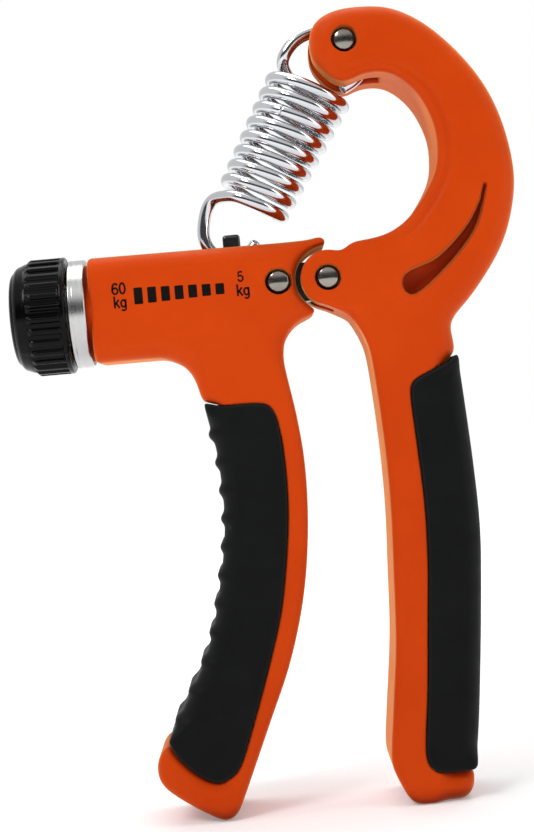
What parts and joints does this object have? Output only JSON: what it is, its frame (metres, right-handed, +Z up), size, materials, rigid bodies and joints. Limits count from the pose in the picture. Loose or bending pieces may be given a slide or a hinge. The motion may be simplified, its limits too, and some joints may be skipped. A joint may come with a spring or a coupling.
{
  "type": "hand grip strengthener",
  "caption": "Squeeze hand exerciser: two levers on a pivot under an extension spring, with a ribbed knob that slides the spring's foot along a barrel to set the force.",
  "frame": {"origin": "centre of the object's box at the floor that the two feet stand on", "axes": "+X along the barrel from the knob to the pivot, +Z up from the feet to the arm, -Y towards the side seen in the picture"},
  "size_m": [0.1026, 0.0236, 0.1588],
  "materials": {
    "orange": "satin moulded ABS, fine sparks, light draft",
    "rubber": "matte soft touch",
    "knob_black": "glossy moulded",
    "steel": "turned, zinc plated",
    "collar": "satin turned",
    "bearing": "natural acetal",
    "dark_steel": "black oxide",
    "pin_steel": "polished, dark",
    "washer": "nylon",
    "spring_chrome": "bright chrome plated wire"
  },
  "bodies": {
    "left_handle": {"left_handle": "orange", "left_grip": "rubber", "collar_ring": "collar", "screw_bearing": "bearing", "hinge_link": "steel", "link_pin": "pin_steel", "pivot_bush": "bearing"},
    "right_handle": {"right_handle": "orange", "right_grip": "rubber", "pivot_pin": "pin_steel", "pivot_washers": "washer", "spring_pin": "pin_steel", "spring_sleeve": "steel"},
    "knob": {"knob": "knob_black", "knob_cap": "knob_black", "knob_screw": "steel", "lead_screw": "steel", "thrust_washer": "steel", "retaining_clip": "dark_steel"},
    "carriage": {"carriage": "dark_steel"},
    "spring_hook": {"spring_hook": "spring_chrome"},
    "spring_foot": {"spring_foot": "spring_chrome"},
    "spring_coil": {"spring_coil": "spring_chrome"},
    "spring_loop": {"spring_loop": "spring_chrome"}
  },
  "joints": [
    {"name": "squeeze", "type": "hinge", "parent": "left_handle", "child": "right_handle", "pos_m": [0.0126, 0, 0.1055], "axis": [0, 1, 0], "range_deg": [0, 15], "stiffness_Nm_per_rad": 4, "springref_deg": -17.19},
    {"name": "knob_spin", "type": "hinge", "parent": "left_handle", "child": "knob", "pos_m": [-0.045, 0, 0.103], "axis": [1, 0, 0], "range_deg": [0, 4321.5]},
    {"name": "carriage_slide", "type": "slide", "parent": "left_handle", "child": "carriage", "axis": [-1, 0, 0], "range_m": [0, 0.018]},
    {"name": "hook_swing", "type": "hinge", "parent": "carriage", "child": "spring_hook", "pos_m": [-0.0059, 0, 0.113], "axis": [0, 1, 0], "range_deg": [0, 13.25], "deforming": ["spring_hook"]},
    {"name": "foot_swing", "type": "hinge", "parent": "spring_hook", "child": "spring_foot", "pos_m": [-0.0059, 0, 0.113], "axis": [0, 1, 0], "range_deg": [0, 12.55], "deforming": ["spring_foot"]},
    {"name": "coil_stretch", "type": "slide", "parent": "spring_foot", "child": "spring_coil", "axis": [0.5493, 0, 0.8356], "range_m": [0, 0.01262], "deforming": ["spring_coil"]},
    {"name": "loop_stretch", "type": "slide", "parent": "spring_coil", "child": "spring_loop", "axis": [0.5493, 0, 0.8356], "range_m": [0, 0.00582], "deforming": ["spring_loop"]}
  ],
  "couplings": [
    {"joint": "knob_spin", "follows": "carriage_slide", "rad_per_m": 4188.8},
    {"joint": "hook_swing", "follows": "carriage_slide", "rad_per_m": 12.799},
    {"joint": "foot_swing", "follows": "squeeze", "ratio": 0.83333},
    {"joint": "coil_stretch", "follows": "carriage_slide", "ratio": 0.7},
    {"joint": "loop_stretch", "follows": "squeeze", "m_per_rad": 0.022154}
  ]
}
